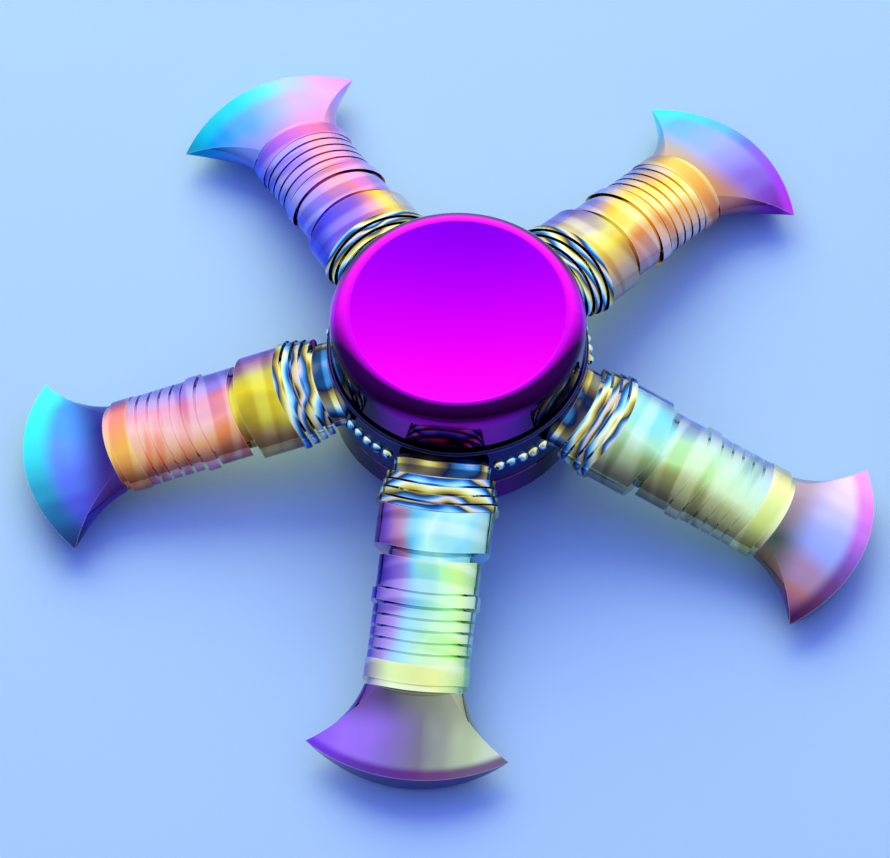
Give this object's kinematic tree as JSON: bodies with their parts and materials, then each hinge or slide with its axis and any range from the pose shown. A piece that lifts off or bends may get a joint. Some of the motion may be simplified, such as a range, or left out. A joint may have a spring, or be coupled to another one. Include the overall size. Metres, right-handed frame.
{
  "type": "fidget spinner",
  "caption": "Metal fidget spinner with dished finger pads on a ball bearing and oval turned arms that slope down to flared, axe-shaped tips.",
  "frame": {"origin": "on the spin axis, in the plane that the lower pad rests on", "axes": "+Z along the spin axis from the lower pad to the upper pad; the first arm points close to -Y, and the other arms follow at equal steps anticlockwise from above"},
  "size_m": [0.0738, 0.0733, 0.0172],
  "materials": {
    "pad_plating": "polished magenta-violet plating",
    "hub_plating": "polished dark violet-blue plating",
    "collar_plating": "polished blue and gold rainbow plating",
    "sleeve_plating": "polished peach, cream and cyan rainbow plating",
    "barrel_plating": "polished pale green and yellow rainbow plating",
    "end_collar_plating": "polished yellow rainbow plating",
    "tip_plating": "polished blue-violet and cyan rainbow plating",
    "fastener_steel": "plain steel",
    "bearing_steel": "ground bearing steel",
    "shield_steel": "stamped steel",
    "cage_brass": "plain brass"
  },
  "bodies": {
    "finger_pads": {"upper_pad": "pad_plating", "lower_pad": "pad_plating", "pad_stud": "fastener_steel", "upper_spacer": "fastener_steel", "lower_spacer": "fastener_steel", "bearing_inner_race": "bearing_steel"},
    "rotor": {"hub": "hub_plating", "bearing_outer_race": "bearing_steel", "upper_shield": "shield_steel", "lower_shield": "shield_steel", "upper_shield_clip": "shield_steel", "lower_shield_clip": "shield_steel", "arm_studs": "fastener_steel", "arm_1_base_collar": "collar_plating", "arm_2_base_collar": "collar_plating", "arm_3_base_collar": "collar_plating", "arm_4_base_collar": "collar_plating", "arm_5_base_collar": "collar_plating", "arm_1_sleeve": "sleeve_plating", "arm_2_sleeve": "sleeve_plating", "arm_3_sleeve": "sleeve_plating", "arm_4_sleeve": "sleeve_plating", "arm_5_sleeve": "sleeve_plating", "arm_1_barrel": "barrel_plating", "arm_2_barrel": "barrel_plating", "arm_3_barrel": "barrel_plating", "arm_4_barrel": "barrel_plating", "arm_5_barrel": "barrel_plating", "arm_1_end_collar": "end_collar_plating", "arm_2_end_collar": "end_collar_plating", "arm_3_end_collar": "end_collar_plating", "arm_4_end_collar": "end_collar_plating", "arm_5_end_collar": "end_collar_plating", "arm_1_tip": "tip_plating", "arm_2_tip": "tip_plating", "arm_3_tip": "tip_plating", "arm_4_tip": "tip_plating", "arm_5_tip": "tip_plating"},
    "ball_set": {"ball_cage": "cage_brass", "bearing_balls": "bearing_steel"}
  },
  "joints": [
    {"name": "rotor_spin", "type": "hinge", "parent": "finger_pads", "child": "rotor", "pos_m": [0, 0, 0.0096], "axis": [0, 0, 1], "continuous": true},
    {"name": "cage_spin", "type": "hinge", "parent": "finger_pads", "child": "ball_set", "pos_m": [0, 0, 0.0096], "axis": [0, 0, 1], "continuous": true}
  ],
  "couplings": [
    {"joint": "cage_spin", "follows": "rotor_spin", "ratio": 0.5834}
  ]
}
